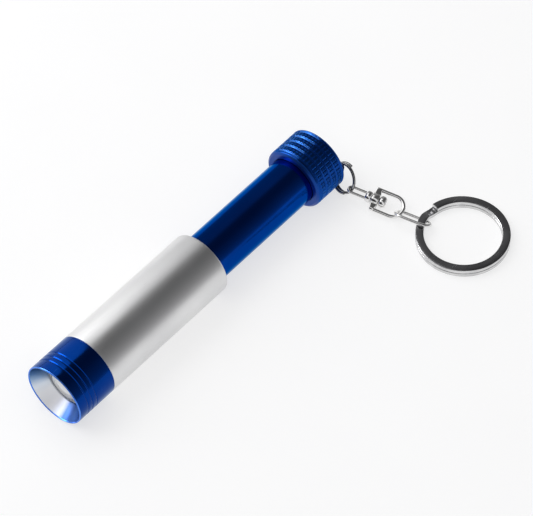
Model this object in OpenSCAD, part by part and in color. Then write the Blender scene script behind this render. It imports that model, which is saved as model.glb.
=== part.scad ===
// Pull-out zoom keychain torch with a twist tail cap, a swivel chain and a flat split key ring.
// The torch lies along X with its lens facing -X. The chain and the key ring lie towards -Y.
// The origin is at the bottom centre of the whole object, +Z up. Millimetres.

/* [Head] */
// Outside diameter of the bezel, sleeve and tail cap
head_d = 18; // [17.6:0.1:18.4]
// Length of the blue bezel
bezel_len = 12.7; // [12.2:0.1:13.2]
// Depth of each decorative ring groove on the bezel
bezel_groove_depth = 0.25; // [0.1:0.05:0.3]
// Height of the lens dome
lens_rise = 2.2; // [1.6:0.1:2.4]
// Length of the outer silver sleeve
sleeve_len = 42.8; // [42:0.1:43.5]

/* [Tube] */
// Outside diameter of the inner tube
tube_d = 13.6; // [13.4:0.1:13.8]
// Inside diameter of the inner tube, which holds one slim cell
tube_id = 11; // [10.8:0.1:11.1]
// Travel of the head between pulled out and pushed in
head_travel = 35.5; // [30:0.5:35.5]

/* [Tail cap] */
// Length of the tail cap
cap_len = 10.29; // [10.2:0.01:10.6]
// Number of lengthwise knurl grooves round the cap
knurl_count = 48; // [36:2:54]
// Depth of the knurl grooves
knurl_depth = 0.3; // [0.2:0.05:0.4]
// Distance between the ring grooves of the knurl
knurl_pitch = 2.05; // [1.9:0.05:2.1]

/* [Chain] */
// Wire diameter of the small split ring
lug_ring_wire = 0.8; // [0.7:0.05:0.85]
// Wire diameter of the swivel eye
eye_wire = 0.8; // [0.7:0.05:0.8]
// Wire diameter of the swivel bow
bow_wire = 1.1; // [1:0.05:1.15]
// Wire diameter of the chain link
link_wire = 0.95; // [0.8:0.05:0.95]

/* [Key ring] */
// Outside diameter of the flat split ring
ring_od = 25; // [24.6:0.1:25.2]
// Radial width of the ring's flat strip
ring_w = 2.2; // [2:0.1:2.3]
// Thickness of one layer of the strip
ring_t = 1.2; // [1.1:0.05:1.2]

/* [Hidden] */

ox = -61.7;                      // shifts the front rim to its place on X
oy = 22.625;                     // shifts the torch axis to its place on Y
zc = 9;                          // height of the torch axis over the table
R = head_d / 2;
sx0 = bezel_len;                 // front of the sleeve
sx1 = sx0 + sleeve_len;          // rear edge of the sleeve
tr = tube_d / 2;
ti = tube_id / 2;
tx0 = sx1 - 10.2;                // front end of the tube, head pulled out
cx0 = sx1 + head_travel + 0.27;  // front face of the tail cap
cx1 = cx0 + cap_len;             // rear face of the tail cap
tx1 = cx1 - 2.76;                // rear end of the tube
sb = 7.4;                        // bore of the sleeve
cb = sb - 0.05;                  // collar of the tube, running in the sleeve
lens_r = 6.1;
lens_sr = (lens_r * lens_r + lens_rise * lens_rise) / (2 * lens_rise);

// a solid of revolution about the torch axis; each point is [radius, x]
module rev(pts, fn = 96) translate([0, 0, zc]) rotate([0, 90, 0]) rotate_extrude($fn = fn) polygon(pts);
// a plain ring about the torch axis
module tubering(ro, ri, xa, xb) rev([[ri, xa], [ro, xa], [ro, xb], [ri, xb]]);
// a solid disc about the torch axis
module disc(r, xa, xb) translate([xa, 0, zc]) rotate([0, 90, 0]) cylinder(r = r, h = xb - xa, $fn = 96);
// a round-section seal about the torch axis
module seal(rm, rw, x) translate([x, 0, zc]) rotate([0, 90, 0]) rotate_extrude($fn = 96) translate([rm, 0]) circle(r = rw, $fn = 32);
// everything is drawn in the torch's own frame and moved once
module place() translate([ox, oy, 0]) children();

// ---------------------------------------------------------------- tube group
module body_tube() color([0.05, 0.12, 0.55]) place()
  rev([[ti, tx0], [cb - 0.15, tx0], [cb, tx0 + 0.15], [cb, tx0 + 1.4], [6.35, tx0 + 1.4], [6.35, tx0 + 2.7],
    [cb, tx0 + 2.7], [cb, tx0 + 3.85], [tr, tx0 + 3.85], [tr, cx0 + 0.93], [6.5, cx0 + 0.93],
    [6.5, cx0 + 1.23], [6.0, cx0 + 1.23], [6.0, cx0 + 2.33], [6.5, cx0 + 2.33],
    [6.5, tx1 - 0.2], [6.3, tx1], [ti, tx1]]);
module stop_o_ring() color([0.07, 0.07, 0.07]) place() seal(6.87, 0.5, tx0 + 2.05);
module led_pill() color([0.8, 0.65, 0.3]) place() difference() {
  rev([[0, tx0 - 0.6], [6.8, tx0 - 0.6], [6.8, tx0], [ti - 0.03, tx0], [ti - 0.03, tx0 + 5.3], [0, tx0 + 5.3]]);
  disc(4.95, tx0 - 1, tx0 + 0.6);
  disc(4.7, tx0 + 2.1, tx0 + 6);
  for (a = [0, 180]) translate([tx0 + 0.2, 0, zc]) rotate([a, 0, 0]) translate([0, 3.2, 0]) rotate([0, 90, 0]) cylinder(r = 0.8, h = 2.5, $fn = 32);
}
module led_board() color([0.93, 0.93, 0.9]) place() disc(4.9, tx0 - 0.4, tx0 + 0.6);
module led_emitter() color([0.95, 0.85, 0.35]) place() union() {
  translate([tx0 - 1.1, -1.725, zc - 1.725]) cube([0.7, 3.45, 3.45]);
  intersection() {
    translate([tx0 - 1.1, 0, zc]) sphere(r = 1.45, $fn = 64);
    translate([tx0 - 3, -2, zc - 2]) cube([2, 4, 4]);
  }
}
module driver_board() color([0.1, 0.35, 0.15]) place() disc(4.65, tx0 + 4.1, tx0 + 5.1);
module front_contact() color([0.85, 0.7, 0.35]) place() union() {
  disc(1.6, tx0 + 5.1, tx0 + 5.7);
  disc(1.2, tx0 + 5.7, tx0 + 6.3);
}
module insulator_ring() color([0.1, 0.1, 0.1]) place() tubering(5.3, 2.6, tx0 + 5.3, tx0 + 6.1);
module aaa_cell() color([0.75, 0.6, 0.3]) place() rev([[0, tx0 + 6.3], [1.9, tx0 + 6.3], [1.9, tx0 + 7.1], [4.9, tx0 + 7.1],
  [5.2, tx0 + 7.4], [5.2, tx0 + 50.5], [4.9, tx0 + 50.8], [0, tx0 + 50.8]]);
module tail_o_ring() color([0.07, 0.07, 0.07]) place() seal(6.43, 0.38, cx0 + 1.78);

// ---------------------------------------------------------------- sliding head
module bezel() color([0.05, 0.15, 0.75]) place()
  rev(concat([[R - 0.45, 0.25], [R - 0.35, 0], [R - 0.15, 0], [R, 0.2]],
    [for (g = [3.1, 4.6, 6.2]) for (p = [[R, g - 0.28], [R - bezel_groove_depth, g - 0.16], [R - bezel_groove_depth, g + 0.16], [R, g + 0.28]]) p],
    [[R, sx0 - 0.12], [R - 0.12, sx0], [8.15, sx0], [8.15, 8], [7.6, 8], [7.6, 4.6], [6.2, 4.6], [6.2, 4.2]]));
module sleeve() color([0.78, 0.78, 0.8]) place()
  rev([[sb, 8.05], [8.12, 8.05], [8.12, sx0], [R - 0.12, sx0], [R, sx0 + 0.12], [R, sx1 - 0.45], [R - 0.12, sx1 - 0.15], [R - 0.4, sx1],
    [8, sx1], [8, sx1 - 6.3], [sb, sx1 - 6.3]]);
module lens() color([0.95, 0.97, 1, 0.5]) place() union() {
  intersection() {
    translate([5.1 - lens_rise + lens_sr, 0, zc]) sphere(r = lens_sr, $fn = 128);
    disc(lens_r + 1, 1, 5.1);
  }
  disc(7.5, 5.1, 6.3);
}
module lens_gasket() color([0.08, 0.08, 0.08]) place() tubering(7.5, 6.35, 4.6, 5.1);
module lens_retainer() color([0.15, 0.15, 0.15]) place() tubering(7.55, 6.1, 6.3, 7.7);
module guide_bush() color([0.1, 0.1, 0.1]) place() rev([[tr + 0.05, sx1 - 6.3], [7.98, sx1 - 6.3], [7.98, sx1 - 0.5], [tr + 0.25, sx1 - 0.5], [tr + 0.05, sx1 - 0.7]]);

// ---------------------------------------------------------------- tail cap
module contact_plate() color([0.8, 0.7, 0.4]) place() disc(6.2, tx1 + 0.04, tx1 + 0.66);
function hx(t) = let (a = 360 * t * 2.6, r = 3.6 - 1.3 * t) [tx1 + 0.04 - 0.32 - t * 1.9, r * cos(a), zc + r * sin(a)];
module tail_spring() color([0.8, 0.8, 0.82]) place() sweep([for (i = [0:52]) hx(i / 52)], 0.28, 8);

lug_c = [104.44, -3.54, 4.55];   // centre of the lug's hole
lug_roll = 5.8;                 // turn of the lug about X
module tail_cap() color([0.04, 0.1, 0.5]) place() difference() {
  union() {
    rev(concat([[6.85, cx0], [R - 0.75, cx0], [R - 0.15, cx0 + 0.45], [R - 0.02, cx0 + 0.9]],
      [for (i = [0:4]) for (p = [[R, cx0 + 1.25 + i * knurl_pitch - 0.3], [R - knurl_depth, cx0 + 1.25 + i * knurl_pitch - 0.1],
        [R - knurl_depth, cx0 + 1.25 + i * knurl_pitch + 0.1], [R, cx0 + 1.25 + i * knurl_pitch + 0.3]]) p],
      [[R, cx1 - 0.25], [R - 0.25, cx1], [0, cx1], [0, cx1 - 2.06], [6.55, cx1 - 2.06], [6.55, cx0 + 2.93], [6.85, cx0 + 2.93]]));
    // ear for the split ring
    translate([0, lug_c[1], lug_c[2]]) rotate([lug_roll, 0, 0]) translate([0, 0, -0.75]) union() {
      translate([cx1 - 0.5, -2.3, 0]) cube([lug_c[0] - cx1 + 0.5, 4.6, 1.5]);
      translate([lug_c[0], 0, 0]) cylinder(r = 2.3, h = 1.5, $fn = 48);
    }
  }
  translate([lug_c[0], lug_c[1], lug_c[2]]) rotate([lug_roll, 0, 0]) translate([0, 0, -2]) cylinder(r = 1.4, h = 4, $fn = 48);
  // lengthwise knurl grooves
  for (i = [0:knurl_count - 1]) translate([cx0 + 1.6, 0, zc]) rotate([i * 360 / knurl_count, 0, 0])
    translate([0, -0.17, R - knurl_depth]) cube([cap_len - 2, 0.34, 1]);
}

// ---------------------------------------------------------------- sweeps
function unit(v) = v / norm(v);
// a closed round wire along a list of points, with flat ends
module sweep(P, r, s) {
  n = len(P);
  T = [for (i = [0:n - 1]) unit(P[min(i + 1, n - 1)] - P[max(i - 1, 0)])];
  N0 = unit(cross(T[0], abs(T[0][2]) < 0.9 ? [0, 0, 1] : [0, 1, 0]));
  function nxt(N, t) = unit(N - (N * t) * t);
  function frames(i, N) = i >= n ? [] : let (m = nxt(N, T[i])) concat([m], frames(i + 1, m));
  F = frames(0, N0);
  pts = [for (i = [0:n - 1]) for (j = [0:s - 1]) let (b = cross(T[i], F[i]), a = 360 * j / s) P[i] + r * (cos(a) * F[i] + sin(a) * b)];
  polyhedron(points = pts, faces = concat(
    [[for (j = [0:s - 1]) j]],
    [for (i = [0:n - 2]) for (j = [0:s - 1]) [i * s + j, (i + 1) * s + j, (i + 1) * s + (j + 1) % s, i * s + (j + 1) % s]],
    [[for (j = [s - 1:-1:0]) (n - 1) * s + j]]), convexity = 6);
}
// turns +Z to the direction n, then moves to c
module aim(c, n) translate(c) rotate([0, acos(n[2]), atan2(n[1], n[0])]) children();

// ---------------------------------------------------------------- small split ring
lr_c = [103.46, -7.38, 4.55];     // centre of the ring
lr_n = unit([0.896, -0.228, -0.381]);
lr_r = 3.965;                   // radius to the middle of the wire
lr_a0 = 50;                      // where the outer coil starts
lr_turns = 1.62;
lr_e1 = unit(cross(lr_n, [0, 0, 1]));
lr_e2 = cross(lr_n, lr_e1);
module lug_ring() color([0.6, 0.6, 0.62]) place()
  sweep([for (i = [0:78]) let (t = i / 78 * lr_turns, a = lr_a0 + 360 * t)
    lr_c + lr_r * (cos(a) * lr_e1 + sin(a) * lr_e2) + (t - lr_turns / 2) * (lug_ring_wire + 0.05) * lr_n], lug_ring_wire / 2, 12);

// ---------------------------------------------------------------- swivel
sw_p = [104.34, -17.41, 2.9];    // middle of the bow's plate
sw_h = -71.4;                    // heading of the swivel, away from the torch
sw_dip = 7.66;                   // how much it drops towards the bow
bow_roll = 15.6;                   // turn of the bow about the swivel
// swivel frame: +X away from the torch, Y across, Z up
module swivel() translate(sw_p) rotate([0, 0, sw_h]) rotate([0, sw_dip, 0]) children();
eye_w = 2.65;                    // width of the eye outside
eye_tip = -8;
module swivel_eye() color([0.75, 0.75, 0.77]) place() swivel() union() {
  rc = (eye_w - eye_wire) / 2;
  xa = eye_tip + eye_wire / 2 + rc;
  // round end and two bars of the eye
  translate([xa, 0, 0]) rotate([0, 0, 90]) rotate_extrude(angle = 180, $fn = 64) translate([rc, 0]) circle(r = eye_wire / 2, $fn = 32);
  for (s = [-1, 1]) translate([xa, s * rc, 0]) rotate([0, 90, 0]) cylinder(r = eye_wire / 2, h = -2.4 - xa, $fn = 32);
  // collar, shank and rounded head inside the bow
  translate([0, 0, 0]) rotate([0, 90, 0]) rotate_extrude($fn = 64)
    polygon([[0, -2.75], [1.2, -2.75], [1.55, -2.4], [1.65, -1.9], [1.55, -1.35], [1.3, -1.1], [0.8, -1.1], [0.8, 1.15], [1.2, 1.15],
      [1.55, 1.5], [1.65, 2.1], [1.5, 2.7], [1.1, 3.1], [0, 3.25]]);
}
bow_w = 7;                      // width of the bow outside
bow_end = 8.4;
module swivel_bow() color([0.8, 0.8, 0.82]) place() swivel() rotate([bow_roll, 0, 0]) difference() {
  union() {
    rc = (bow_w - bow_wire) / 2;
    xa = bow_end - bow_wire / 2 - rc;
    translate([xa, 0, 0]) rotate([0, 0, -90]) rotate_extrude(angle = 180, $fn = 64) translate([rc, 0]) circle(r = bow_wire / 2, $fn = 32);
    for (s = [-1, 1]) translate([-0.4, s * rc, 0]) rotate([0, 90, 0]) cylinder(r = bow_wire / 2, h = xa + 0.4, $fn = 32);
    // plate with rounded ends that the shank turns in
    translate([-0.95, 0, 0]) rotate([0, 90, 0]) cylinder(r = 1.65, h = 1.95, $fn = 48);
    translate([-0.95, -rc, -0.7]) cube([1.95, 2 * rc, 1.4]);
    for (s = [-1, 1]) translate([-0.95, s * (bow_w / 2 - 0.85), 0]) rotate([0, 90, 0]) cylinder(r = 0.85, h = 1.95, $fn = 32);
  }
  translate([-2, 0, 0]) rotate([0, 90, 0]) cylinder(r = 0.86, h = 4, $fn = 48);
}

// ---------------------------------------------------------------- chain link
ln_c = [106.33, -28.53, 1.96];     // centre of the link
ln_h = -75.5;                    // heading of its long axis
ln_roll = -38.1;                  // turn about its long axis
ln_dip = 0.74;
ln_len = 10.8;                   // outside length
ln_w = 5.6;                      // outside width
module chain_link() color([0.72, 0.72, 0.74]) place() translate(ln_c) rotate([0, 0, ln_h]) rotate([0, ln_dip, 0]) rotate([ln_roll, 0, 0]) union() {
  rc = (ln_w - link_wire) / 2;
  l = (ln_len - ln_w) / 2;
  for (s = [-1, 1]) {
    translate([s * l, 0, 0]) rotate([0, 0, -s * 90]) rotate_extrude(angle = 180, $fn = 64) translate([rc, 0]) circle(r = link_wire / 2, $fn = 32);
    translate([-l, s * rc, 0]) rotate([0, 90, 0]) cylinder(r = link_wire / 2, h = 2 * l, $fn = 32);
  }
}

// ---------------------------------------------------------------- key ring
kr_c = [110.9, -41.75, 0];
kr_a0 = 83.2;                     // where the ramp between the layers begins
kr_ramp = 20;                    // length of the ramp, degrees
kr_gap = 0.05;
// the strip: one turn in the lower layer, a ramp, one turn in the upper layer
function kr_z(a) = a < 0 ? 0 : a > kr_ramp ? ring_t + kr_gap : let (s = a / kr_ramp) (ring_t + kr_gap) * s * s * (3 - 2 * s);
kr_n = 132;
kr_from = -(360 - 34);
kr_to = 360 - 4;
module key_ring() color([0.5, 0.5, 0.52]) place() translate(kr_c) {
  m = (ring_od - ring_w) / 2;
  w = ring_w / 2;
  c = 0.18;
  S = [[m - w + c, 0], [m + w - c, 0], [m + w, c], [m + w, ring_t - c], [m + w - c, ring_t], [m - w + c, ring_t], [m - w, ring_t - c], [m - w, c]];
  s = len(S);
  A = [for (i = [0:kr_n]) kr_from + (kr_to - kr_from) * i / kr_n];
  pts = [for (a = A) for (p = S) [p[0] * cos(a + kr_a0), p[0] * sin(a + kr_a0), p[1] + kr_z(a)]];
  polyhedron(points = pts, faces = concat(
    [[for (j = [0:s - 1]) j]],
    [for (i = [0:kr_n - 1]) for (j = [0:s - 1]) [i * s + j, (i + 1) * s + j, (i + 1) * s + (j + 1) % s, i * s + (j + 1) % s]],
    [[for (j = [s - 1:-1:0]) kr_n * s + j]]), convexity = 6);
}

body_tube();
stop_o_ring();
led_pill();
led_board();
led_emitter();
driver_board();
front_contact();
insulator_ring();
aaa_cell();
tail_o_ring();
bezel();
sleeve();
lens();
lens_gasket();
lens_retainer();
guide_bush();
contact_plate();
tail_spring();
tail_cap();
lug_ring();
swivel_eye();
swivel_bow();
chain_link();
key_ring();
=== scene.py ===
import bpy, bmesh, math
from mathutils import Matrix, Vector


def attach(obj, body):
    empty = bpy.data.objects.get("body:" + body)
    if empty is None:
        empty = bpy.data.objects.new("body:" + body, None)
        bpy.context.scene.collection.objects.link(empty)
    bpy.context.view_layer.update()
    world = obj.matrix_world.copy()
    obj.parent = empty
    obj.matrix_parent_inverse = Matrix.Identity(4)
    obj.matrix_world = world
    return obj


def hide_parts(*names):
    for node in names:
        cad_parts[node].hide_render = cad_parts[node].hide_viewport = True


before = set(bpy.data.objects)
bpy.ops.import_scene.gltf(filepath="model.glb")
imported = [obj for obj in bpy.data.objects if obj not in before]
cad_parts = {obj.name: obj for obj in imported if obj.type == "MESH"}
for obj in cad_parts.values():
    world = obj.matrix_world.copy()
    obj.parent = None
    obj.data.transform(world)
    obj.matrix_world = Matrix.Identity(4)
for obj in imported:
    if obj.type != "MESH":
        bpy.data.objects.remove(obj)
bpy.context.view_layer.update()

# ------------------------------------------------------------------ places
# Everything is drawn in the torch's own frame, in mm, and moved once into the row frame, in metres.
OX, OY = -61.7, 22.625
AX = 9.0


def W(p):
    return ((p[0] + OX) / 1000, (p[1] + OY) / 1000, p[2] / 1000)


def rot(axis, deg):
    return Matrix.Rotation(math.radians(deg), 3, axis)


def cos(a):
    return math.cos(math.radians(a))


def sin(a):
    return math.sin(math.radians(a))


# ------------------------------------------------------------------ materials
def links(tree):
    return lambda a, b: tree.links.new(a, b)


def mat(name):
    m = bpy.data.materials.new(name)
    m.use_nodes = True
    t = m.node_tree
    b = t.nodes["Principled BSDF"]
    return m, t, b


def node(t, kind, **kw):
    n = t.nodes.new(kind)
    for k, v in kw.items():
        setattr(n, k, v)
    return n


def coords(t, scale=(1, 1, 1)):
    tc = node(t, "ShaderNodeTexCoord")
    mp = node(t, "ShaderNodeMapping")
    mp.inputs["Scale"].default_value = scale
    t.links.new(tc.outputs["Object"], mp.inputs["Vector"])
    return mp.outputs["Vector"]


def noise(t, vec, scale, detail=3.0, rough=0.55):
    n = node(t, "ShaderNodeTexNoise")
    n.inputs["Scale"].default_value = scale
    n.inputs["Detail"].default_value = detail
    n.inputs["Roughness"].default_value = rough
    t.links.new(vec, n.inputs["Vector"])
    return n.outputs["Fac"]


def ramp(t, fac, stops):
    r = node(t, "ShaderNodeValToRGB")
    e = r.color_ramp.elements
    while len(e) > 1:
        e.remove(e[-1])
    e[0].position = stops[0][0]
    e[0].color = tuple(stops[0][1]) + (1,) if len(stops[0][1]) == 3 else stops[0][1]
    for p, c in stops[1:]:
        x = e.new(p)
        x.color = tuple(c) + (1,) if len(c) == 3 else c
    t.links.new(fac, r.inputs["Fac"])
    return r.outputs["Color"]


def span(t, fac, lo, hi, a=0.0, b=1.0):
    n = node(t, "ShaderNodeMapRange")
    n.inputs["From Min"].default_value = a
    n.inputs["From Max"].default_value = b
    n.inputs["To Min"].default_value = lo
    n.inputs["To Max"].default_value = hi
    t.links.new(fac, n.inputs["Value"])
    return n.outputs["Result"]


def mixc(t, fac, a, b):
    n = node(t, "ShaderNodeMix", data_type="RGBA")
    t.links.new(fac, n.inputs["Factor"])
    for s, v in (("A", a), ("B", b)):
        i = [x for x in n.inputs if x.name == s and x.type == "RGBA"][0]
        if isinstance(v, (tuple, list)):
            i.default_value = tuple(v) + (1,)
        else:
            t.links.new(v, i)
    return [o for o in n.outputs if o.type == "RGBA"][0]


def add(t, a, b, op="ADD", k=None):
    n = node(t, "ShaderNodeMath", operation=op)
    t.links.new(a, n.inputs[0])
    if isinstance(b, (int, float)):
        n.inputs[1].default_value = b
    else:
        t.links.new(b, n.inputs[1])
    return n.outputs[0]


def bump(t, b, height, strength, dist):
    n = node(t, "ShaderNodeBump")
    n.inputs["Strength"].default_value = strength
    n.inputs["Distance"].default_value = dist
    t.links.new(height, n.inputs["Height"])
    t.links.new(n.outputs["Normal"], b.inputs["Normal"])
    return n


def finish(name, base, dark, metal, r0, r1, patch=60.0, fine=2500.0, bump_s=0.15, bump_d=2e-5,
           stretch=(1, 1, 1), scratch=0.0, scratch_col=None, coat=0.0, ior=None, edge=None):
    """A worn surface: slow colour patches, finer roughness patches, a fine bump and a few scratches."""
    m, t, b = mat(name)
    v = coords(t)
    vs = coords(t, stretch)
    slow = noise(t, v, patch, 2.0)
    fast = noise(t, vs, fine, 3.0, 0.6)
    col = mixc(t, span(t, slow, 0.0, 1.0, 0.35, 0.65), base, dark)
    rough = add(t, span(t, slow, r0, r1, 0.3, 0.7), span(t, fast, -0.03, 0.03))
    if scratch:
        vv = coords(t, (40, 900, 900))
        s = noise(t, vv, 8.0, 2.0, 0.4)
        line = span(t, s, 0.0, 1.0, 0.69, 0.74)
        gate = span(t, noise(t, v, 160.0, 1.0), 0.0, scratch, 0.5, 0.62)
        line = add(t, line, gate, "MULTIPLY")
        col = mixc(t, line, col, scratch_col or (0.8, 0.8, 0.8))
        rough = add(t, rough, add(t, line, 0.25, "MULTIPLY"))
    t.links.new(col, b.inputs["Base Color"])
    t.links.new(rough, b.inputs["Roughness"])
    b.inputs["Metallic"].default_value = metal
    if edge:
        b.inputs["Specular Tint"].default_value = tuple(edge) + (1,)
    if coat:
        b.inputs["Coat Weight"].default_value = coat
        b.inputs["Coat Roughness"].default_value = 0.05
    if ior:
        b.inputs["IOR"].default_value = ior
    bump(t, b, fast, bump_s, bump_d)
    return m


RINGS = (1, 0.004, 0.004)   # turned marks run round the axis
M = {}
M["anodised_blue"] = finish("anodised_blue", (0.0020, 0.040, 0.28), (0.0016, 0.034, 0.24), 1.0, 0.13, 0.19, 70, 9000,
                            0.05, 4e-6, RINGS, 0.35, (0.05, 0.16, 0.6), edge=(0.35, 0.60, 0.95))
M["anodised_blue_bezel"] = finish("anodised_blue_bezel", (0.0016, 0.038, 0.25), (0.0013, 0.032, 0.22), 1.0, 0.13, 0.19, 70, 9000,
                                  0.05, 4e-6, RINGS, 0.3, (0.06, 0.2, 0.65), edge=(0.80, 0.90, 1.0))
M["anodised_blue_dark"] = finish("anodised_blue_dark", (0.003, 0.056, 0.31), (0.0020, 0.040, 0.24), 1.0, 0.15, 0.22, 90, 4000,
                                 0.12, 6e-6, (1, 1, 1), 0.3, (0.10, 0.25, 0.7), coat=0.08, edge=(0.45, 0.68, 0.97))
M["anodised_blue_face"] = finish("anodised_blue_face", (0.008, 0.060, 0.32), (0.005, 0.045, 0.25), 0.88, 0.28, 0.40, 90, 4000,
                                 0.12, 6e-6, RINGS)
# painted highlight: a lighter copy of the blue, laid on the ring grooves in one band of angle on the cap's upper side
M["anodised_blue_painted_highlight"] = finish("anodised_blue_painted_highlight", (0.045, 0.17, 0.56), (0.02, 0.11, 0.42), 1.0, 0.20, 0.30, 400, 4000,
                                 0.12, 6e-6, RINGS)
# painted shade: a much darker copy of the cap's blue, laid in the cap's mouth and bore
M["anodised_blue_painted_shade"] = finish("anodised_blue_painted_shade", (0.0015, 0.016, 0.07), (0.001, 0.010, 0.045), 0.6, 0.40, 0.55, 90, 4000,
                                 0.12, 6e-6, RINGS)
M["anodised_silver"] = finish("anodised_silver", (0.76, 0.76, 0.76), (0.70, 0.70, 0.705), 1.0, 0.33, 0.42, 50, 4200,
                              0.08, 5e-6, RINGS, 0.35, (0.5, 0.5, 0.5))
M["bezel_bright"] = finish("bezel_bright", (0.72, 0.78, 0.88), (0.66, 0.73, 0.86), 1.0, 0.12, 0.18, 90, 7000,
                           0.05, 4e-6, RINGS)
def cone_material():
    """Polished cone: bright metal, with painted reflections of the blue body laid on two sides of it as blue patches.
    """
    m, t, b = mat("bezel_bright")
    v = coords(t)
    sepc = node(t, "ShaderNodeSeparateXYZ")
    t.links.new(v, sepc.inputs[0])
    y = add(t, sepc.outputs["Y"], -OY / 1000)
    z = add(t, sepc.outputs["Z"], -AX / 1000)
    ang = node(t, "ShaderNodeMath", operation="ARCTAN2")
    t.links.new(z, ang.inputs[0])
    t.links.new(y, ang.inputs[1])
    pos = span(t, ang.outputs[0], 0, 1, -math.pi, math.pi)
    # painted reflection: this ramp by angle round the axis paints the blue body's reflection on two sides of the cone;
    # the white stretch is the bright metal
    col = ramp(t, pos, [(0.0, (0.08, 0.22, 0.50)), (0.09, (0.010, 0.062, 0.28)), (0.14, (0.03, 0.10, 0.34)), (0.175, (0.010, 0.062, 0.28)), (0.215, (0.06, 0.15, 0.42)), (0.245, (0.66, 0.71, 0.85)),
                        (0.30, (0.86, 0.86, 0.89)), (0.38, (0.84, 0.85, 0.87)), (0.43, (0.64, 0.70, 0.78)), (0.475, (0.26, 0.38, 0.56)), (0.515, (0.07, 0.16, 0.32)), (0.56, (0.02, 0.07, 0.18)),
                        (0.66, (0.03, 0.10, 0.24)), (1.0, (0.08, 0.22, 0.50))])
    slow = noise(t, v, 140, 2.0)
    fast = noise(t, coords(t, RINGS), 9000, 3.0)
    col = mixc(t, span(t, slow, 0.0, 0.12, 0.35, 0.65), col, (0.5, 0.55, 0.62))
    t.links.new(col, b.inputs["Base Color"])
    t.links.new(add(t, span(t, slow, 0.27, 0.36), span(t, fast, -0.03, 0.03)), b.inputs["Roughness"])
    b.inputs["Metallic"].default_value = 1.0
    b.inputs["Specular Tint"].default_value = (0.55, 0.68, 0.85, 1)
    bump(t, b, fast, 0.05, 4e-6)
    return m


M["bezel_bright"] = cone_material()
# painted highlight: a lighter copy of the bezel blue for the thin front rim
M["bezel_rim_painted_highlight"] = finish("bezel_rim_painted_highlight", (0.06, 0.20, 0.72), (0.10, 0.28, 0.80), 1.0, 0.18, 0.26, 300, 7000, 0.08, 5e-6, (1, 1, 1), 0.3, (0.3, 0.45, 0.85))
M["nickel_bright"] = finish("nickel_bright", (0.86, 0.855, 0.845), (0.74, 0.735, 0.73), 1.0, 0.07, 0.14, 160, 3000,
                            0.10, 8e-6, (1, 1, 1), 0.5, (0.4, 0.4, 0.4))
M["nickel_dark"] = finish("nickel_dark", (0.50, 0.50, 0.50), (0.40, 0.40, 0.41), 1.0, 0.12, 0.22, 160, 3000,
                          0.10, 8e-6, (1, 1, 1), 0.5, (0.62, 0.62, 0.62))
M["nickel_lug"] = finish("nickel_lug", (0.30, 0.30, 0.30), (0.20, 0.20, 0.205), 1.0, 0.10, 0.18, 200, 3000,
                         0.10, 8e-6, (1, 1, 1), 0.5, (0.5, 0.5, 0.5))
M["ring_side"] = finish("ring_side", (0.70, 0.70, 0.70), (0.56, 0.56, 0.565), 1.0, 0.16, 0.28, 220, 3500,
                        0.12, 8e-6, (1, 1, 1), 0.5, (0.45, 0.45, 0.45))
# painted shade: a dark copy of the nickel for the ring's flat faces, standing in for the dark reflection they show; the
# side walls keep the lighter nickel
M["ring_top_painted_shade"] = finish("ring_top_painted_shade", (0.27, 0.27, 0.275), (0.17, 0.17, 0.175), 1.0, 0.13, 0.24, 130, 3200,
                       0.22, 8e-6, (1, 1, 1), 0.7, (0.5, 0.5, 0.5))
M["seal_rubber"] = finish("seal_rubber", (0.014, 0.014, 0.015), (0.03, 0.03, 0.03), 0.0, 0.45, 0.62, 200, 5000, 0.3, 2e-5)
M["seal_clear"] = finish("seal_clear", (0.62, 0.63, 0.65), (0.52, 0.53, 0.55), 0.0, 0.3, 0.45, 200, 5000, 0.2, 1e-5)
M["nylon_black"] = finish("nylon_black", (0.02, 0.02, 0.021), (0.035, 0.035, 0.036), 0.0, 0.38, 0.5, 150, 8000, 0.2, 1e-5, RINGS)
M["brass_turned"] = finish("brass_turned", (0.80, 0.58, 0.25), (0.66, 0.46, 0.20), 1.0, 0.18, 0.32, 200, 9000, 0.12, 8e-6, RINGS)
M["board_white"] = finish("board_white", (0.86, 0.86, 0.83), (0.78, 0.78, 0.74), 0.0, 0.3, 0.42, 300, 6000, 0.2, 1e-5)
M["board_green"] = finish("board_green", (0.02, 0.13, 0.05), (0.015, 0.09, 0.035), 0.0, 0.25, 0.4, 300, 6000, 0.25, 1e-5)
M["cell_jacket"] = finish("cell_jacket", (0.05, 0.05, 0.055), (0.08, 0.08, 0.085), 0.25, 0.22, 0.35, 80, 4000, 0.1, 1e-5, (1, 1, 1), 0.3, (0.3, 0.3, 0.3))
M["spring_steel"] = finish("spring_steel", (0.68, 0.67, 0.65), (0.55, 0.54, 0.52), 1.0, 0.18, 0.32, 300, 6000, 0.15, 8e-6)
M["led_silicone"] = finish("led_silicone", (0.92, 0.78, 0.20), (0.85, 0.68, 0.15), 0.0, 0.12, 0.2, 900, 9000, 0.1, 4e-6, coat=0.6)
M["solder"] = finish("solder", (0.75, 0.75, 0.76), (0.62, 0.62, 0.63), 1.0, 0.2, 0.35, 900, 7000, 0.3, 1e-5)


def lens_material():
    m, t, b = mat("lens_clear")
    v = coords(t)
    slow = noise(t, v, 120, 2.0)
    dust = noise(t, v, 5000, 3.0, 0.7)
    t.links.new(mixc(t, span(t, slow, 0, 1, 0.3, 0.7), (0.99, 0.99, 0.985), (0.965, 0.97, 0.965)), b.inputs["Base Color"])
    t.links.new(add(t, span(t, slow, 0.02, 0.06), span(t, dust, 0.0, 0.12, 0.6, 0.8)), b.inputs["Roughness"])
    b.inputs["IOR"].default_value = 1.49
    b.inputs["Transmission Weight"].default_value = 0.12
    b.inputs["Coat Weight"].default_value = 0.5
    b.inputs["Coat Roughness"].default_value = 0.03
    bump(t, b, dust, 0.05, 4e-6)
    return m


M["lens_clear"] = lens_material()


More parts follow.
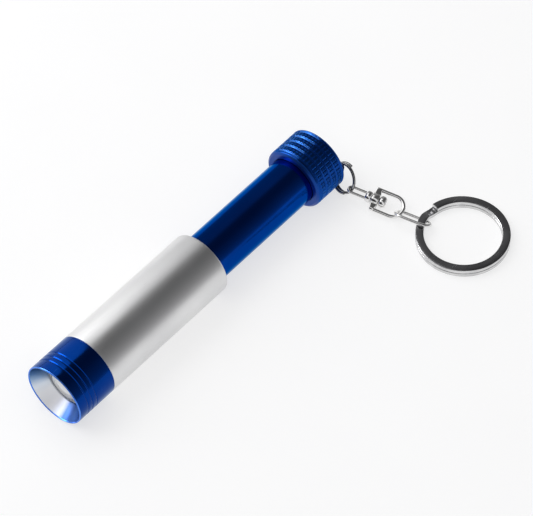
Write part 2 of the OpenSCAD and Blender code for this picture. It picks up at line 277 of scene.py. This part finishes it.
# ------------------------------------------------------------------ mesh tools
def corner(pts, rad, n=4):
    """The closed outline with each corner rounded; rad is one radius or one per point (0 keeps the corner)."""
    out = []
    k = len(pts)
    for i, p in enumerate(pts):
        r = rad[i] if isinstance(rad, (list, tuple)) else rad
        p = Vector(p)
        a, c = Vector(pts[i - 1]) - p, Vector(pts[(i + 1) % k]) - p
        la, lc = a.length, c.length
        a.normalize()
        c.normalize()
        ang = math.acos(max(-1, min(1, a.dot(c))))
        if r <= 0 or ang > math.radians(176) or ang < math.radians(4):
            out.append(tuple(p))
            continue
        d = min(r / math.tan(ang / 2), 0.45 * la, 0.45 * lc)
        rr = d * math.tan(ang / 2)
        mid = (a + c).normalized()
        ctr = p + mid * (rr / math.sin(ang / 2))
        s, e = p + a * d - ctr, p + c * d - ctr
        turn = math.pi - ang
        sign = 1 if (s.x * e.y - s.y * e.x) > 0 else -1
        for j in range(n + 1):
            w = sign * turn * j / n
            out.append((ctr.x + s.x * math.cos(w) - s.y * math.sin(w), ctr.y + s.x * math.sin(w) + s.y * math.cos(w)))
    return out


def build(name, verts, faces, body, material, hides=(), sharp=32, index=None):
    me = bpy.data.meshes.new(name)
    me.from_pydata([W(v) for v in verts], [], faces)
    o = bpy.data.objects.new(name, me)
    bpy.context.scene.collection.objects.link(o)
    bm = bmesh.new()
    bm.from_mesh(me)
    bmesh.ops.remove_doubles(bm, verts=bm.verts, dist=1e-8)
    bmesh.ops.recalc_face_normals(bm, faces=bm.faces)
    for f in bm.faces:
        f.smooth = True
    bm.to_mesh(me)
    bm.free()
    me.set_sharp_from_angle(angle=math.radians(sharp))
    for m in material if isinstance(material, (list, tuple)) else [material]:
        me.materials.append(M[m])
    if index:
        for p in me.polygons:
            p.material_index = index(Vector(((p.center.x * 1000) - OX, (p.center.y * 1000) - OY, p.center.z * 1000)), p)
    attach(o, body)
    if hides:
        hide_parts(*hides)
    return o


def lathe(rows, segs, base=0, radius=None, closed=True):
    """Rings about the torch axis. rows are (r, x); radius(i, theta, r, x) may change r. Returns verts, faces."""
    V, F, start = [], [], []
    for i, (r, x) in enumerate(rows):
        start.append(len(V))
        if r < 1e-6:
            V.append((x, 0, AX))
            continue
        for j in range(segs):
            th = 360.0 * j / segs
            rr = radius(i, th, r, x) if radius else r
            V.append((x, rr * cos(th), AX + rr * sin(th)))
    n = len(rows)
    for i in range(n if closed else n - 1):
        k = (i + 1) % n
        pa, pb = rows[i][0] < 1e-6, rows[k][0] < 1e-6
        for j in range(segs):
            a, b = start[i] + j, start[i] + (j + 1) % segs
            c, d = start[k] + (j + 1) % segs, start[k] + j
            if pa and pb:
                break
            if pa:
                F.append((start[i], c, d))
            elif pb:
                F.append((a, b, start[k]))
            else:
                F.append((a, b, c, d))
    return V, [tuple(q + base for q in f) for f in F]


def merge(*parts):
    V, F = [], []
    for v, f in parts:
        F += [tuple(q + len(V) for q in g) for g in f]
        V += list(v)
    return V, F


def tube(P, r, s=24, closed=False, cut=0.08):
    """A round wire along the points; open ends are cut flat with a small edge break."""
    P = [Vector(p) for p in P]
    n = len(P)
    T = []
    for i in range(n):
        a = P[(i - 1) % n] if closed or i else P[0]
        b = P[(i + 1) % n] if closed or i < n - 1 else P[-1]
        T.append((b - a).normalized())
    N = Vector((0, 0, 1)) if abs(T[0].z) < 0.9 else Vector((0, 1, 0))
    N = (N - N.dot(T[0]) * T[0]).normalized()
    frames = []
    for i in range(n):
        N = (N - N.dot(T[i]) * T[i]).normalized()
        frames.append(N.copy())
    twist = 0.0
    if closed:
        last = (frames[-1] - frames[-1].dot(T[0]) * T[0]).normalized()
        twist = math.atan2(last.cross(frames[0]).dot(T[0]), last.dot(frames[0]))
    rows = []
    if closed:
        for i in range(n):
            a0 = twist * i / n
            rows.append((P[i], T[i], frames[i], r, a0))
    else:
        rows.append((P[0], T[0], frames[0], r - cut, 0))
        rows.append((P[0] + T[0] * cut * 0.3, T[0], frames[0], r - cut * 0.3, 0))
        rows.append((P[0] + T[0] * cut, T[0], frames[0], r, 0))
        for i in range(1, n - 1):
            if (P[i] - P[0]).length > cut * 1.5 and (P[i] - P[-1]).length > cut * 1.5:
                rows.append((P[i], T[i], frames[i], r, 0))
        rows.append((P[-1] - T[-1] * cut, T[-1], frames[-1], r, 0))
        rows.append((P[-1] - T[-1] * cut * 0.3, T[-1], frames[-1], r - cut * 0.3, 0))
        rows.append((P[-1], T[-1], frames[-1], r - cut, 0))
    V = []
    for p, t, f, rad, a0 in rows:
        g = t.cross(f)
        for j in range(s):
            a = 2 * math.pi * j / s + a0
            V.append(tuple(p + (f * math.cos(a) + g * math.sin(a)) * rad))
    m = len(rows)
    F = []
    for i in range(m if closed else m - 1):
        k = (i + 1) % m
        for j in range(s):
            F.append((i * s + j, i * s + (j + 1) % s, k * s + (j + 1) % s, k * s + j))
    if not closed:
        for e, q in ((0, 0), (m - 1, 1)):
            c = len(V)
            V.append(tuple(rows[e][0]))
            for j in range(s):
                F.append((e * s + j, e * s + (j + 1) % s, c))
    return V, F


def shaft(rows, segs, place):
    """Rings about the local X axis, moved by place(); rows are (r, x)."""
    V, F = lathe(rows, segs)
    return [tuple(place(Vector((v[0], v[1], v[2] - AX)))) for v in V], F


# ------------------------------------------------------------------ sizes, as in the CAD source
R = 9.0
SX0, SX1 = 12.7, 55.5
TX0 = 45.3
CX0, CX1 = 91.27, 101.56
TX1 = CX1 - 2.76
SB, CB, TR, TI = 7.4, 7.35, 6.8, 5.5
SEG = 256

# ------------------------------------------------------------------ bezel
pts = [(8.55, 0.25), (8.65, 0.0), (8.85, 0.0), (9, 0.2)]
rad = [0.12, 0.1, 0.14, 0.2]
for g in (3.1, 4.6, 6.2):
    for q in range(-8, 9):
        d = q / 8 * 0.30
        pts.append((9 - 0.12 * (0.5 + 0.5 * math.cos(math.pi * d / 0.30)), g + d))
        rad.append(0)
pts += [(9, 12.58), (8.88, 12.7), (8.15, 12.7), (8.15, 8), (7.6, 8), (7.6, 4.6), (6.2, 4.6), (6.2, 4.2)]
rad += [0.06, 0.06, 0.04, 0.04, 0.05, 0.05, 0.05, 0.08]
rows = corner(pts, rad)
V, F = lathe(rows, SEG)


def bezel_index(c, p):
    r = math.hypot(c.y, c.z - AX)
    # the front rim faces take the lighter blue, a painted highlight
    if c.x < 0.24 and r > 8.5:
        return 2
    # the cone faces take the bright metal with its painted blue reflections
    return 1 if c.x < 4.5 and r < 8.5 else 0


build("bezel_v", V, F, "head", ["anodised_blue_bezel", "bezel_bright", "bezel_rim_painted_highlight"], ["bezel"], index=bezel_index)

# ------------------------------------------------------------------ sleeve
pts = [(7.4, 8.05), (8.12, 8.05), (8.12, 12.7), (8.88, 12.7), (9, 12.82), (9, 55.05), (8.88, 55.35), (8.6, 55.5), (8, 55.5), (8, 49.2), (7.4, 49.2)]
rad = [0.05, 0.05, 0.03, 0.05, 0.06, 0.3, 0.25, 0.1, 0.08, 0.05, 0.05]
V, F = lathe(corner(pts, rad), SEG)
build("sleeve_v", V, F, "head", "anodised_silver", ["sleeve"])

# ------------------------------------------------------------------ lens
sr = (6.1 ** 2 + 2.2 ** 2) / 4.4
dome = []
for i in range(0, 33):
    a = math.asin(6.1 / sr) * i / 32
    dome.append((sr * math.sin(a), 5.1 - 2.2 + sr - sr * math.cos(a)))
rows = dome + corner([(6.1, 5.1), (7.5, 5.1), (7.5, 6.3), (0, 6.3)], [0, 0.08, 0.08, 0])[1:]
V, F = lathe(rows, 160, closed=False)
build("lens_v", V, F, "head", "lens_clear", ["lens"], sharp=25)

# ------------------------------------------------------------------ tube
pts = [(5.5, TX0), (7.2, TX0), (7.35, TX0 + .15), (7.35, TX0 + 1.4), (6.35, TX0 + 1.4), (6.35, TX0 + 2.7), (7.35, TX0 + 2.7),
       (7.35, TX0 + 3.85), (6.8, TX0 + 3.85), (6.8, CX0 + .93), (6.5, CX0 + .93), (6.5, CX0 + 1.23), (6.0, CX0 + 1.23), (6.0, CX0 + 2.33), (6.5, CX0 + 2.33)]
# real thread ridges under the cap, inside the plain land of the CAD
x = CX0 + 2.6
while x < TX1 - 0.9:
    pts += [(6.5, x), (6.5, x + 0.18), (6.18, x + 0.42), (6.18, x + 0.5)]
    x += 0.75
pts += [(6.5, TX1 - .2), (6.3, TX1), (5.5, TX1)]
V, F = lathe(corner(pts, 0.05, 3), SEG)
build("body_tube_v", V, F, "tube", "anodised_blue", ["body_tube"])

# ------------------------------------------------------------------ tail cap with its knurl
K0, K1 = CX0 + 1.0, CX1 - 0.3       # knurled length
NK = 48
PITCH = 2.05


def groove(d, half, soft):
    """1 at the middle of a groove, 0 outside it, with soft shoulders."""
    d = abs(d)
    if d >= half:
        return 0.0
    t = (half - d) / soft
    t = min(1.0, t)
    return t * t * (3 - 2 * t)


def knurl(x, th):
    e = min(1.0, max(0.0, (x - K0) / 0.25)) * min(1.0, max(0.0, (K1 - x) / 0.2))
    q = (x - (CX0 + 1.25)) / PITCH
    d = (q - round(q)) * PITCH
    big = groove(d, 0.42, 0.36) * 0.34
    q2 = q - 0.5
    d2 = (q2 - round(q2)) * PITCH
    mid = groove(d2, 0.20, 0.18) * 0.05
    a = (th / 360 * NK)
    a = (a - round(a)) / NK * 2 * math.pi * R
    side = groove(a, 0.2, 0.17) * 0.11 * min(1.0, max(0.0, (x - K0 - 0.2) / 0.25))
    return e * max(big, mid, side)


pts = [(6.85, CX0), (8.25, CX0), (8.85, CX0 + .45), (8.98, CX0 + .9)]
rows = corner([(6.85, CX0 + 3), (6.85, CX0), (8.25, CX0), (8.85, CX0 + .45), (8.98, CX0 + .9), (9, CX0 + 1.2)], [0, 0.08, 0.1, 0.25, 0.2, 0])[1:-1]
n0 = len(rows)
xs = []
x = CX0 + 0.97
while x < CX1 - 0.27:
    xs.append(x)
    x += 0.068
rows += [(R, x) for x in xs]
n1 = len(rows)
tail = corner([(9, CX1 - 1), (9, CX1 - .25), (8.75, CX1), (0, CX1), (0, CX1 - 2.06), (6.55, CX1 - 2.06), (6.55, CX0 + 2.93), (6.85, CX0 + 2.93)],
              [0, 0.12, 0.12, 0, 0, 0.2, 0.05, 0.05])
rows += [p for p in tail[1:]]
V, F = lathe(rows, NK * 12, radius=lambda i, th, r, x: r - knurl(x, th) if n0 <= i < n1 else r)
cap = (V, F)
LUG = Vector((104.44, -3.54, 4.55))
RL = rot("X", 5.8)
# ear: a rounded flat tongue with a hole, its edges broken
def ear():
    V, F = [], []
    n = 96
    def out(a):
        # distance from the hole's centre to the tongue's outline
        c, s = math.cos(a), math.sin(a)
        if c >= 0:
            return 2.3
        return min(2.3 / max(abs(s), 1e-6), (LUG.x - CX1 + 0.3) / max(-c, 1e-6))
    b = 0.14
    prof = []   # (is_outer, inset, z)
    for z0, z1 in ((-0.75, 0.75),):
        prof = [(1, b, z0), (1, b * 0.3, z0 + b * 0.3), (1, 0, z0 + b), (1, 0, z1 - b), (1, b * 0.3, z1 - b * 0.3), (1, b, z1),
                (0, b, z1), (0, b * 0.3, z1 - b * 0.3), (0, 0, z1 - b), (0, 0, z0 + b), (0, b * 0.3, z0 + b * 0.3), (0, b, z0)]
    for o, inset, z in prof:
        for j in range(n):
            a = 2 * math.pi * j / n
            r = out(a) - inset if o else 1.4 + inset
            V.append(tuple(LUG + RL @ Vector((r * math.cos(a), r * math.sin(a), z))))
    m = len(prof)
    for i in range(m):
        k = (i + 1) % m
        for j in range(n):
            F.append((i * n + j, i * n + (j + 1) % n, k * n + (j + 1) % n, k * n + j))
    return V, F


V, F = merge(cap, ear())
def cap_index(c, p):
    """Mouth and bore of the cap get a much darker copy of the blue as painted shade, the front face its own rougher
    blue, and the groove bottoms in one band of angle on the upper side a lighter copy as a painted highlight.
    """
    r = math.hypot(c.y, c.z - AX)
    # painted shade in the mouth and bore
    if c.x < CX1 - 2.0 and r < 6.95:
        return 1
    if c.x < CX0 + 0.5 and abs(p.normal.x) > 0.6:
        return 2
    # painted highlight: ring grooves between 48 and 96 degrees round the axis take the lighter copy
    a = math.degrees(math.atan2(c.z - AX, c.y))
    q = (c.x - (CX0 + 1.25)) / PITCH
    if 48 < a < 96 and K0 < c.x < K1 and abs(q - round(q)) * PITCH < 0.36 and r > 8.3:
        return 3
    return 0


build("tail_cap_v", V, F, "cap", ["anodised_blue_dark", "anodised_blue_painted_shade", "anodised_blue_face", "anodised_blue_painted_highlight"], ["tail_cap"],
      sharp=40, index=cap_index)

# ------------------------------------------------------------------ led and its board
sq = []
def slab(x0, x1, hy, hz, b=0.08, rr=0.3):
    out = corner([(-hy, -hz), (hy, -hz), (hy, hz), (-hy, hz)], rr, 4)
    V, F = [], []
    n = len(out)
    for x, k in ((x0 + b, 1.0), (x0, 1 - b / hy)) if False else ((x0, 1 - b / hy), (x0 + b, 1.0), (x1 - b, 1.0), (x1, 1 - b / hy)):
        for y, z in out:
            V.append((x, y * k, AX + z * k))
    for i in range(3):
        for j in range(n):
            F.append((i * n + j, i * n + (j + 1) % n, (i + 1) * n + (j + 1) % n, (i + 1) * n + j))
    F.append(tuple(range(n - 1, -1, -1)))
    F.append(tuple(range(3 * n, 4 * n)))
    return V, F


a = slab(TX0 - 1.1, TX0 - 0.4, 1.72, 1.72)
d = [(1.45 * math.sin(math.radians(5 * i)), TX0 - 1.1 - 1.45 * math.cos(math.radians(5 * i))) for i in range(0, 19)]
dm = lathe(d + [(1.45, TX0 - 1.0), (0, TX0 - 1.0)], 64, closed=False)
V, F = merge(a, dm)
build("led_emitter_v", V, F, "tube", ["led_silicone"], ["led_emitter"])
disc = lathe(corner([(0, TX0 - 0.4), (4.9, TX0 - 0.4), (4.9, TX0 + 0.6), (0, TX0 + 0.6)], [0, 0.1, 0.1, 0]), 128)
build("led_board_v", disc[0], disc[1], "tube", "board_white", ["led_board"])

# ------------------------------------------------------------------ small split ring
n_ = Vector((0.896, -0.228, -0.381)).normalized()
C = Vector((103.46, -7.38, 4.55))
e1 = n_.cross(Vector((0, 0, 1))).normalized()
e2 = n_.cross(e1)
P = []
for i in range(0, 241):
    t = i / 240 * 1.62
    a = 50 + 360 * t
    P.append(C + 3.965 * (cos(a) * e1 + sin(a) * e2) + (t - 0.81) * 0.85 * n_)
V, F = tube(P, 0.4, 24)
build("lug_ring_v", V, F, "lug_ring", "nickel_lug", ["lug_ring"])

# ------------------------------------------------------------------ swivel
SWP = Vector((104.34, -17.41, 2.9))
SW = rot("Z", -71.4) @ rot("Y", 7.66)


def sw(v):
    return SWP + SW @ Vector(v)


rc = (2.65 - 0.8) / 2
xa = -8 + 0.4 + rc
P = [(x, rc, 0) for x in (-2.4, -3.2, -4, -5, -6, xa + 0.3)]
P += [(xa + rc * cos(a), rc * sin(a), 0) for a in range(90, 271, 6)]
P += [(x, -rc, 0) for x in (xa + 0.3, -6, -5, -4, -3.2, -2.4)]
w = tube([sw(p) for p in P], 0.4, 24)
prof = [(0, -2.75), (1.2, -2.75), (1.55, -2.4), (1.65, -1.9), (1.55, -1.35), (1.3, -1.1), (0.8, -1.1), (0.8, 1.15), (1.2, 1.15),
        (1.55, 1.5), (1.65, 2.1), (1.5, 2.7), (1.1, 3.1), (0, 3.25)]
prr = [0, 0.2, 0.4, 0.5, 0.4, 0.15, 0.05, 0.05, 0.2, 0.4, 0.6, 0.6, 0.5, 0]
s_ = shaft(corner(prof, prr, 5), 96, sw)
V, F = merge(w, s_)
build("swivel_eye_v", V, F, "swivel_eye", "nickel_bright", ["swivel_eye"])

BR = SW @ rot("X", 15.6)


def bw(v):
    return SWP + BR @ Vector(v)


rc = (7 - 1.1) / 2
xa = 8.4 - 0.55 - rc
P = [(x, rc, 0) for x in (-0.4, 0.4, 1.2, 2.2, 3.2, 4.2, xa - 0.1)]
P += [(xa + rc * cos(a), rc * sin(a), 0) for a in range(90, -91, -5)]
P += [(x, -rc, 0) for x in (xa - 0.1, 4.2, 3.2, 2.2, 1.2, 0.4, -0.4)]
w = tube([bw(p) for p in P], 0.55, 28)


def plate():
    """The bow's cross plate: a bar with rounded ends and a round boss that the shank turns in."""
    n = 192
    V, F = [], []

    def out(a):
        c, s = math.cos(a), math.sin(a)      # c along Y, s along Z
        best = 1.65
        if abs(s) > 1e-9:
            t = 0.7 / abs(s)
            if abs(t * c) <= rc:
                best = max(best, t)
        # far root of the circle r 0.85 round (rc2, 0)
        y0 = 3.5 - 0.85
        bq = abs(c) * y0
        disc = bq * bq - (y0 * y0 - 0.85 ** 2)
        if disc > 0:
            best = max(best, bq + math.sqrt(disc))
        return best

    b = 0.34
    x0, x1 = -0.95, 1.0
    prof = [(1, b, x0), (1, b * 0.3, x0 + b * 0.3), (1, 0, x0 + b), (1, 0, x1 - b), (1, b * 0.3, x1 - b * 0.3), (1, b, x1),
            (0, 0.1, x1), (0, 0, x1 - 0.1), (0, 0, x0 + 0.1), (0, 0.1, x0)]
    angs = [2 * math.pi * (j + 0.35 * math.sin(4 * math.pi * j / n) * 6 / 6) / n for j in range(n)]
    for o, inset, x in prof:
        for a in angs:
            r = out(a) * (1 - 0) - inset if o else 0.86 + inset
            k = min(1.0, max(0.0, (abs(r * math.cos(a)) - 1.4) / 1.2))
            k = 1 - 0.36 * k * k * (3 - 2 * k)
            V.append(tuple(bw((x * k, r * math.cos(a), r * math.sin(a)))))
    m = len(prof)
    for i in range(m):
        k = (i + 1) % m
        for j in range(n):
            F.append((i * n + j, i * n + (j + 1) % n, k * n + (j + 1) % n, k * n + j))
    return V, F


V, F = merge(w, plate())
build("swivel_bow_v", V, F, "swivel_bow", "nickel_bright", ["swivel_bow"])

# ------------------------------------------------------------------ link
LN = rot("Z", -75.5) @ rot("Y", 0.74) @ rot("X", -38.1)
LC = Vector((106.33, -28.53, 1.96))
rc = (5.6 - 0.95) / 2
l = (10.8 - 5.6) / 2
P = [(l + rc * cos(a), rc * sin(a), 0) for a in range(-90, 91, 5)]
P += [(l * (1 - i / 4.0), rc, 0) for i in range(1, 8)]
P += [(-l + rc * cos(a), rc * sin(a), 0) for a in range(90, 271, 5)]
P += [(-l * (1 - i / 4.0), -rc, 0) for i in range(1, 8)]
V, F = tube([LC + LN @ Vector(p) for p in P], 0.452, 24, closed=True)
build("chain_link_v", V, F, "chain_link", "nickel_bright", ["chain_link"])

# ------------------------------------------------------------------ key ring
KC = Vector((110.9, -41.75, 0))
T_, G_, A0, RAMP = 1.2, 0.05, 83.2, 20.0
KF, KT = -(360 - 34.0), 360 - 4.0


def kz(a):
    if a < 0:
        return 0.0
    if a > RAMP:
        return T_ + G_
    s = a / RAMP
    return (T_ + G_) * s * s * (3 - 2 * s)


def ribbon():
    m, w = (25 - 2.2) / 2, 1.1
    S = corner([(m - w, 0), (m + w, 0), (m + w, T_), (m - w, T_)], 0.2, 3)
    s = len(S)
    cy, cz = m, T_ / 2
    steps = []
    n = 520
    for i in range(n + 1):
        steps.append((KF + (KT - KF) * i / n, 1.0))
    e = 0.1 / m * 57.3
    steps = [(KF, 0.86), (KF + e * 0.35, 0.95)] + [(KF + e, 1.0)] + steps[1:-1] + [(KT - e, 1.0), (KT - e * 0.35, 0.95), (KT, 0.86)]
    V, F = [], []
    for a, k in steps:
        ins = (1 - k) * T_ / 2
        for r, z in S:
            r2 = cy + (r - cy) * (1 - ins / w)
            z2 = cz + (z - cz) * (1 - ins / (T_ / 2))
            V.append(tuple(KC + Vector(((r2 - 0.006) * cos(a + A0), (r2 - 0.006) * sin(a + A0), z2 + kz(a)))))
    m_ = len(steps)
    for i in range(m_ - 1):
        for j in range(s):
            F.append((i * s + j, i * s + (j + 1) % s, (i + 1) * s + (j + 1) % s, (i + 1) * s + j))
    F.append(tuple(range(s - 1, -1, -1)))
    F.append(tuple(range((m_ - 1) * s, m_ * s)))
    return V, F


V, F = ribbon()
# flat top and bottom faces get the dark nickel copy, painted shade; the side walls the lighter nickel
build("key_ring_v", V, F, "key_ring", ["ring_side", "ring_top_painted_shade"], ["key_ring"], index=lambda c, p: 1 if abs(p.normal.z) > 0.8 else 0)

# ------------------------------------------------------------------ CAD nodes that stay
stay = {"stop_o_ring": "seal_rubber", "tail_o_ring": "seal_rubber", "lens_gasket": "seal_clear", "lens_retainer": "nylon_black",
        "guide_bush": "nylon_black", "insulator_ring": "nylon_black", "led_pill": "brass_turned", "front_contact": "brass_turned",
        "contact_plate": "brass_turned", "driver_board": "board_green", "aaa_cell": "cell_jacket", "tail_spring": "spring_steel"}
for n, s in stay.items():
    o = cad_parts[n]
    o.data.materials.clear()
    o.data.materials.append(M[s])

# ------------------------------------------------------------------ floor, light, camera
fm, ft, fb = mat("floor_pale")
fv = coords(ft)
fn = noise(ft, fv, 30, 2.0)
ft.links.new(mixc(ft, span(ft, fn, 0, 1, 0.3, 0.7), (0.42, 0.42, 0.423), (0.41, 0.41, 0.413)), fb.inputs["Base Color"])
fb.inputs["Roughness"].default_value = 0.9
fb.inputs["Specular IOR Level"].default_value = 0.1
fb.inputs["Emission Color"].default_value = (1, 1, 1, 1)
fb.inputs["Emission Strength"].default_value = 0.645
me = bpy.data.meshes.new("floor")
me.from_pydata([(-3, -3, 0), (3, -3, 0), (3, 3, 0), (-3, 3, 0)], [], [(0, 1, 2, 3)])
floor = bpy.data.objects.new("floor", me)
bpy.context.scene.collection.objects.link(floor)
me.materials.append(fm)

world = bpy.data.worlds.new("studio")
bpy.context.scene.world = world
world.use_nodes = True
t = world.node_tree
bg = t.nodes["Background"]
tc = node(t, "ShaderNodeTexCoord")
sep = node(t, "ShaderNodeSeparateXYZ")
t.links.new(tc.outputs["Generated"], sep.inputs[0])
at = node(t, "ShaderNodeMath", operation="ARCTAN2")
t.links.new(sep.outputs["Z"], at.inputs[0])
t.links.new(sep.outputs["Y"], at.inputs[1])
fac = span(t, at.outputs[0], 0, 1, 0.0, math.pi)
g = lambda v: (v, v, v * 1.02)
sky = ramp(t, fac, [(0.0, g(0.42)), (0.06, g(0.28)), (0.36, g(0.25)), (0.45, g(0.10)), (0.56, g(0.09)), (0.66, g(0.11)), (0.82, g(0.20)), (0.95, g(0.34)), (1.0, g(0.6))])
xf = ramp(t, span(t, sep.outputs["X"], 0, 1, -1, 1), [(0.10, g(0)), (0.19, g(1)), (0.30, g(1)), (0.37, g(0))])
sky2 = mixc(t, xf, sky, g(0.85))
dim = ramp(t, span(t, sep.outputs["X"], 0, 1, -1, 1), [(0.09, (0.3, 0.3, 0.3)), (0.17, (1, 1, 1))])
mul = node(t, "ShaderNodeMix", data_type="RGBA", blend_type="MULTIPLY")
mul.inputs["Factor"].default_value = 1.0
ci = [x for x in mul.inputs if x.type == "RGBA"]
t.links.new(sky2, ci[0])
t.links.new(dim, ci[1])
t.links.new([o for o in mul.outputs if o.type == "RGBA"][0], bg.inputs["Color"])
bg.inputs["Strength"].default_value = 1.0


def area(name, loc, aim, sx, sy, radiance, glossy=True, diffuse=True, col=(1, 1, 1)):
    d = bpy.data.lights.new(name, "AREA")
    d.shape = "RECTANGLE"
    d.size, d.size_y = sx, sy
    d.energy = radiance * math.pi * sx * sy
    d.color = col
    o = bpy.data.objects.new(name, d)
    bpy.context.scene.collection.objects.link(o)
    o.location = loc
    o.rotation_mode = "QUATERNION"
    q = (Vector(aim) - Vector(loc)).to_track_quat("-Z", "Y")
    o.rotation_quaternion = q
    o.visible_glossy = glossy
    o.visible_diffuse = diffuse
    o.visible_camera = False
    return o


# soft box over and behind the head; its +X edge ends so that the inner tube looks past it
key = area("key", (-0.095, 0.33, 0.27), (-0.095, 0.02, 0.009), 0.57, 0.60, 0.84)
strip = area("strip", (-0.10, 0.34, 0.22), (-0.02, 0.02, 0.01), 0.20, 0.24, 5.5, diffuse=False)
fill = area("fill", (0.0, 0.0, 0.9), (0, 0, 0), 1.6, 1.6, 0.55, glossy=False)

cam = bpy.data.cameras.new("camera")
cam.lens, cam.sensor_width, cam.sensor_fit = 236.4, 36, "HORIZONTAL"
cam.clip_start, cam.clip_end = 0.01, 20
co = bpy.data.objects.new("camera", cam)
bpy.context.scene.collection.objects.link(co)
loc = Vector((-0.405991, -0.352579, 0.721747))
tgt = Vector((0.005741, 0.010973, 0.009))
back = (loc - tgt).normalized()
right = Vector((0, 0, 1)).cross(back).normalized()
up = back.cross(right)
a = math.radians(-0.505)
r2 = right * math.cos(a) + up * math.sin(a)
u2 = back.cross(r2)
co.matrix_world = Matrix((r2, u2, back)).transposed().to_4x4()
co.location = loc
bpy.context.scene.camera = co
bpy.context.scene.view_settings.view_transform = "Standard"
bpy.context.scene.view_settings.look = "None"
